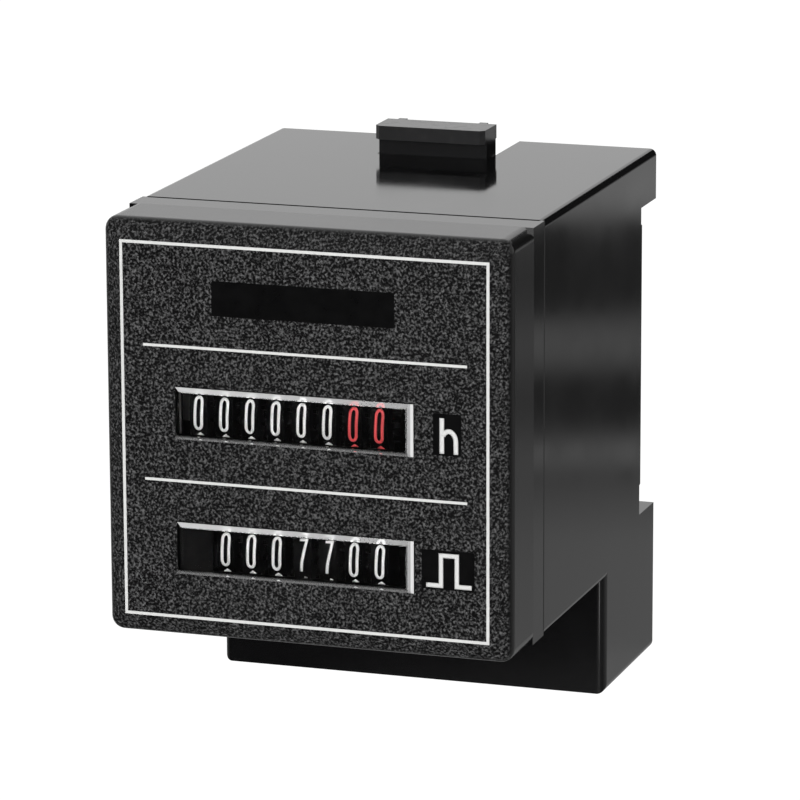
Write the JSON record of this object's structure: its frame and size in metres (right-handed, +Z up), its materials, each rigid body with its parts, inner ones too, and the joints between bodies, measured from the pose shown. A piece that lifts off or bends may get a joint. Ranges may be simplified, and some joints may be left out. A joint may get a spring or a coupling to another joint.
{
  "type": "rail-mounted hours meter and pulse counter",
  "caption": "Black rail-mounted hours meter and pulse counter: square textured front with number wheels behind clear windows, sliding rail latch and wire terminals in a foot.",
  "frame": {"origin": "middle of the rail seat, the plane that meets the front of the rail's lips", "axes": "+X to the right along the rail, +Y from the front to the rail, +Z up"},
  "size_m": [0.048, 0.0595, 0.0656],
  "materials": {
    "textured_black": "moulded grain",
    "gloss_black": "polished mould",
    "clear": "clear acrylic",
    "wheel_black": "satin",
    "natural_plastic": "natural",
    "steel": "zinc plated",
    "spring_steel": "blued",
    "plated": "nickel plated",
    "copper": "enamelled wire",
    "board": "solder resist",
    "component_black": "moulded",
    "white_print": "printed",
    "red_print": "printed"
  },
  "bodies": {
    "case": {"front_bezel": "textured_black", "hours_window": "clear", "pulse_window": "clear", "housing": "gloss_black", "latch_spring": "spring_steel", "latch_pin": "steel", "hours_frame": "steel", "pulse_frame": "steel", "frame_screws": "steel", "hours_wheel_axle": "steel", "pulse_wheel_axle": "steel", "hours_pinion_axle": "steel", "pulse_pinion_axle": "steel", "pulse_spacer": "wheel_black", "motor_can": "steel", "motor_coil": "copper", "magnet_yoke": "steel", "magnet_bobbin": "natural_plastic", "magnet_coil": "copper", "armature_spring": "spring_steel", "circuit_board": "board", "board_components": "component_black", "terminal_clamps": "plated", "terminal_screws": "plated"},
    "rail_latch": {"rail_latch": "gloss_black"},
    "motor_rotor": {"motor_rotor": "steel"},
    "hours_idler": {"hours_idler": "natural_plastic"},
    "armature": {"armature": "steel"},
    "hours_wheel_1": {"hours_wheel_1": "wheel_black"},
    "hours_pinion_1": {"hours_pinion_1": "natural_plastic"},
    "hours_wheel_2": {"hours_wheel_2": "wheel_black"},
    "hours_pinion_2": {"hours_pinion_2": "natural_plastic"},
    "hours_wheel_3": {"hours_wheel_3": "wheel_black"},
    "hours_pinion_3": {"hours_pinion_3": "natural_plastic"},
    "hours_wheel_4": {"hours_wheel_4": "wheel_black"},
    "hours_pinion_4": {"hours_pinion_4": "natural_plastic"},
    "hours_wheel_5": {"hours_wheel_5": "wheel_black"},
    "hours_pinion_5": {"hours_pinion_5": "natural_plastic"},
    "hours_wheel_6": {"hours_wheel_6": "wheel_black"},
    "hours_pinion_6": {"hours_pinion_6": "natural_plastic"},
    "hours_wheel_7": {"hours_wheel_7": "wheel_black"},
    "hours_pinion_7": {"hours_pinion_7": "natural_plastic"},
    "hours_wheel_8": {"hours_wheel_8": "wheel_black"},
    "pulse_wheel_1": {"pulse_wheel_1": "wheel_black"},
    "pulse_pinion_1": {"pulse_pinion_1": "natural_plastic"},
    "pulse_wheel_2": {"pulse_wheel_2": "wheel_black"},
    "pulse_pinion_2": {"pulse_pinion_2": "natural_plastic"},
    "pulse_wheel_3": {"pulse_wheel_3": "wheel_black"},
    "pulse_pinion_3": {"pulse_pinion_3": "natural_plastic"},
    "pulse_wheel_4": {"pulse_wheel_4": "wheel_black"},
    "pulse_pinion_4": {"pulse_pinion_4": "natural_plastic"},
    "pulse_wheel_5": {"pulse_wheel_5": "wheel_black"},
    "pulse_pinion_5": {"pulse_pinion_5": "natural_plastic"},
    "pulse_wheel_6": {"pulse_wheel_6": "wheel_black"},
    "pulse_pinion_6": {"pulse_pinion_6": "natural_plastic"},
    "pulse_wheel_7": {"pulse_wheel_7": "wheel_black"}
  },
  "joints": [
    {"name": "latch_slide", "type": "slide", "parent": "case", "child": "rail_latch", "axis": [0, 0, 1], "range_m": [0, 0.003], "stiffness_N_per_m": 800, "springref_m": -0.002, "deforming": ["latch_spring"]},
    {"name": "armature_pull", "type": "hinge", "parent": "case", "child": "armature", "pos_m": [0, -0.01159, -0.00434], "axis": [1, 0, 0], "range_deg": [0, 3.5], "stiffness_Nm_per_rad": 0.02, "springref_deg": -2.86, "deforming": ["armature_spring"]},
    {"name": "motor_turn", "type": "hinge", "parent": "case", "child": "motor_rotor", "pos_m": [0, -0.03629, 0.01531], "axis": [1, 0, 0], "continuous": true},
    {"name": "idler_turn", "type": "hinge", "parent": "case", "child": "hours_idler", "pos_m": [0, -0.03834, 0.00766], "axis": [1, 0, 0], "continuous": true},
    {"name": "hours_wheel_1_turn", "type": "hinge", "parent": "case", "child": "hours_wheel_1", "pos_m": [0, -0.0432, 0.00187], "axis": [1, 0, 0], "continuous": true},
    {"name": "hours_pinion_1_turn", "type": "hinge", "parent": "case", "child": "hours_pinion_1", "pos_m": [0, -0.03536, 0.00187], "axis": [1, 0, 0], "continuous": true},
    {"name": "hours_wheel_2_turn", "type": "hinge", "parent": "case", "child": "hours_wheel_2", "pos_m": [0, -0.0432, 0.00187], "axis": [1, 0, 0], "continuous": true},
    {"name": "hours_pinion_2_turn", "type": "hinge", "parent": "case", "child": "hours_pinion_2", "pos_m": [0, -0.03536, 0.00187], "axis": [1, 0, 0], "continuous": true},
    {"name": "hours_wheel_3_turn", "type": "hinge", "parent": "case", "child": "hours_wheel_3", "pos_m": [0, -0.0432, 0.00187], "axis": [1, 0, 0], "continuous": true},
    {"name": "hours_pinion_3_turn", "type": "hinge", "parent": "case", "child": "hours_pinion_3", "pos_m": [0, -0.03536, 0.00187], "axis": [1, 0, 0], "continuous": true},
    {"name": "hours_wheel_4_turn", "type": "hinge", "parent": "case", "child": "hours_wheel_4", "pos_m": [0, -0.0432, 0.00187], "axis": [1, 0, 0], "continuous": true},
    {"name": "hours_pinion_4_turn", "type": "hinge", "parent": "case", "child": "hours_pinion_4", "pos_m": [0, -0.03536, 0.00187], "axis": [1, 0, 0], "continuous": true},
    {"name": "hours_wheel_5_turn", "type": "hinge", "parent": "case", "child": "hours_wheel_5", "pos_m": [0, -0.0432, 0.00187], "axis": [1, 0, 0], "continuous": true},
    {"name": "hours_pinion_5_turn", "type": "hinge", "parent": "case", "child": "hours_pinion_5", "pos_m": [0, -0.03536, 0.00187], "axis": [1, 0, 0], "continuous": true},
    {"name": "hours_wheel_6_turn", "type": "hinge", "parent": "case", "child": "hours_wheel_6", "pos_m": [0, -0.0432, 0.00187], "axis": [1, 0, 0], "continuous": true},
    {"name": "hours_pinion_6_turn", "type": "hinge", "parent": "case", "child": "hours_pinion_6", "pos_m": [0, -0.03536, 0.00187], "axis": [1, 0, 0], "continuous": true},
    {"name": "hours_wheel_7_turn", "type": "hinge", "parent": "case", "child": "hours_wheel_7", "pos_m": [0, -0.0432, 0.00187], "axis": [1, 0, 0], "continuous": true},
    {"name": "hours_pinion_7_turn", "type": "hinge", "parent": "case", "child": "hours_pinion_7", "pos_m": [0, -0.03536, 0.00187], "axis": [1, 0, 0], "continuous": true},
    {"name": "hours_wheel_8_turn", "type": "hinge", "parent": "case", "child": "hours_wheel_8", "pos_m": [0, -0.0432, 0.00187], "axis": [1, 0, 0], "continuous": true},
    {"name": "pulse_wheel_1_turn", "type": "hinge", "parent": "case", "child": "pulse_wheel_1", "pos_m": [0, -0.0432, -0.01375], "axis": [1, 0, 0], "continuous": true},
    {"name": "pulse_pinion_1_turn", "type": "hinge", "parent": "case", "child": "pulse_pinion_1", "pos_m": [0, -0.03536, -0.01375], "axis": [1, 0, 0], "continuous": true},
    {"name": "pulse_wheel_2_turn", "type": "hinge", "parent": "case", "child": "pulse_wheel_2", "pos_m": [0, -0.0432, -0.01375], "axis": [1, 0, 0], "continuous": true},
    {"name": "pulse_pinion_2_turn", "type": "hinge", "parent": "case", "child": "pulse_pinion_2", "pos_m": [0, -0.03536, -0.01375], "axis": [1, 0, 0], "continuous": true},
    {"name": "pulse_wheel_3_turn", "type": "hinge", "parent": "case", "child": "pulse_wheel_3", "pos_m": [0, -0.0432, -0.01375], "axis": [1, 0, 0], "continuous": true},
    {"name": "pulse_pinion_3_turn", "type": "hinge", "parent": "case", "child": "pulse_pinion_3", "pos_m": [0, -0.03536, -0.01375], "axis": [1, 0, 0], "continuous": true},
    {"name": "pulse_wheel_4_turn", "type": "hinge", "parent": "case", "child": "pulse_wheel_4", "pos_m": [0, -0.0432, -0.01375], "axis": [1, 0, 0], "continuous": true},
    {"name": "pulse_pinion_4_turn", "type": "hinge", "parent": "case", "child": "pulse_pinion_4", "pos_m": [0, -0.03536, -0.01375], "axis": [1, 0, 0], "continuous": true},
    {"name": "pulse_wheel_5_turn", "type": "hinge", "parent": "case", "child": "pulse_wheel_5", "pos_m": [0, -0.0432, -0.01375], "axis": [1, 0, 0], "continuous": true},
    {"name": "pulse_pinion_5_turn", "type": "hinge", "parent": "case", "child": "pulse_pinion_5", "pos_m": [0, -0.03536, -0.01375], "axis": [1, 0, 0], "continuous": true},
    {"name": "pulse_wheel_6_turn", "type": "hinge", "parent": "case", "child": "pulse_wheel_6", "pos_m": [0, -0.0432, -0.01375], "axis": [1, 0, 0], "continuous": true},
    {"name": "pulse_pinion_6_turn", "type": "hinge", "parent": "case", "child": "pulse_pinion_6", "pos_m": [0, -0.03536, -0.01375], "axis": [1, 0, 0], "continuous": true},
    {"name": "pulse_wheel_7_turn", "type": "hinge", "parent": "case", "child": "pulse_wheel_7", "pos_m": [0, -0.0432, -0.01375], "axis": [1, 0, 0], "continuous": true}
  ],
  "couplings": [
    {"joint": "idler_turn", "follows": "motor_turn", "ratio": -0.29412},
    {"joint": "hours_wheel_1_turn", "follows": "motor_turn", "ratio": 0.11765},
    {"joint": "hours_pinion_1_turn", "follows": "motor_turn", "ratio": -0.029412},
    {"joint": "hours_wheel_2_turn", "follows": "motor_turn", "ratio": 0.011765},
    {"joint": "hours_pinion_2_turn", "follows": "motor_turn", "ratio": -0.0029412},
    {"joint": "hours_wheel_3_turn", "follows": "motor_turn", "ratio": 0.0011765},
    {"joint": "hours_pinion_3_turn", "follows": "motor_turn", "ratio": -0.00029412},
    {"joint": "hours_wheel_4_turn", "follows": "motor_turn", "ratio": 0.00011765},
    {"joint": "hours_pinion_4_turn", "follows": "motor_turn", "ratio": -0.000029412},
    {"joint": "hours_wheel_5_turn", "follows": "motor_turn", "ratio": 0.000011765},
    {"joint": "hours_pinion_5_turn", "follows": "motor_turn", "ratio": -0.0000029412},
    {"joint": "hours_wheel_6_turn", "follows": "motor_turn", "ratio": 0.0000011765},
    {"joint": "hours_pinion_6_turn", "follows": "motor_turn", "ratio": -0.00000029412},
    {"joint": "hours_wheel_7_turn", "follows": "motor_turn", "ratio": 0.00000011765},
    {"joint": "hours_pinion_7_turn", "follows": "motor_turn", "ratio": -0.000000029412},
    {"joint": "hours_wheel_8_turn", "follows": "motor_turn", "ratio": 0.000000011765},
    {"joint": "pulse_pinion_1_turn", "follows": "pulse_wheel_1_turn", "ratio": -0.25},
    {"joint": "pulse_wheel_2_turn", "follows": "pulse_wheel_1_turn", "ratio": 0.1},
    {"joint": "pulse_pinion_2_turn", "follows": "pulse_wheel_1_turn", "ratio": -0.025},
    {"joint": "pulse_wheel_3_turn", "follows": "pulse_wheel_1_turn", "ratio": 0.01},
    {"joint": "pulse_pinion_3_turn", "follows": "pulse_wheel_1_turn", "ratio": -0.0025},
    {"joint": "pulse_wheel_4_turn", "follows": "pulse_wheel_1_turn", "ratio": 0.001},
    {"joint": "pulse_pinion_4_turn", "follows": "pulse_wheel_1_turn", "ratio": -0.00025},
    {"joint": "pulse_wheel_5_turn", "follows": "pulse_wheel_1_turn", "ratio": 0.0001},
    {"joint": "pulse_pinion_5_turn", "follows": "pulse_wheel_1_turn", "ratio": -0.000025},
    {"joint": "pulse_wheel_6_turn", "follows": "pulse_wheel_1_turn", "ratio": 0.00001},
    {"joint": "pulse_pinion_6_turn", "follows": "pulse_wheel_1_turn", "ratio": -0.0000025},
    {"joint": "pulse_wheel_7_turn", "follows": "pulse_wheel_1_turn", "ratio": 0.000001}
  ]
}
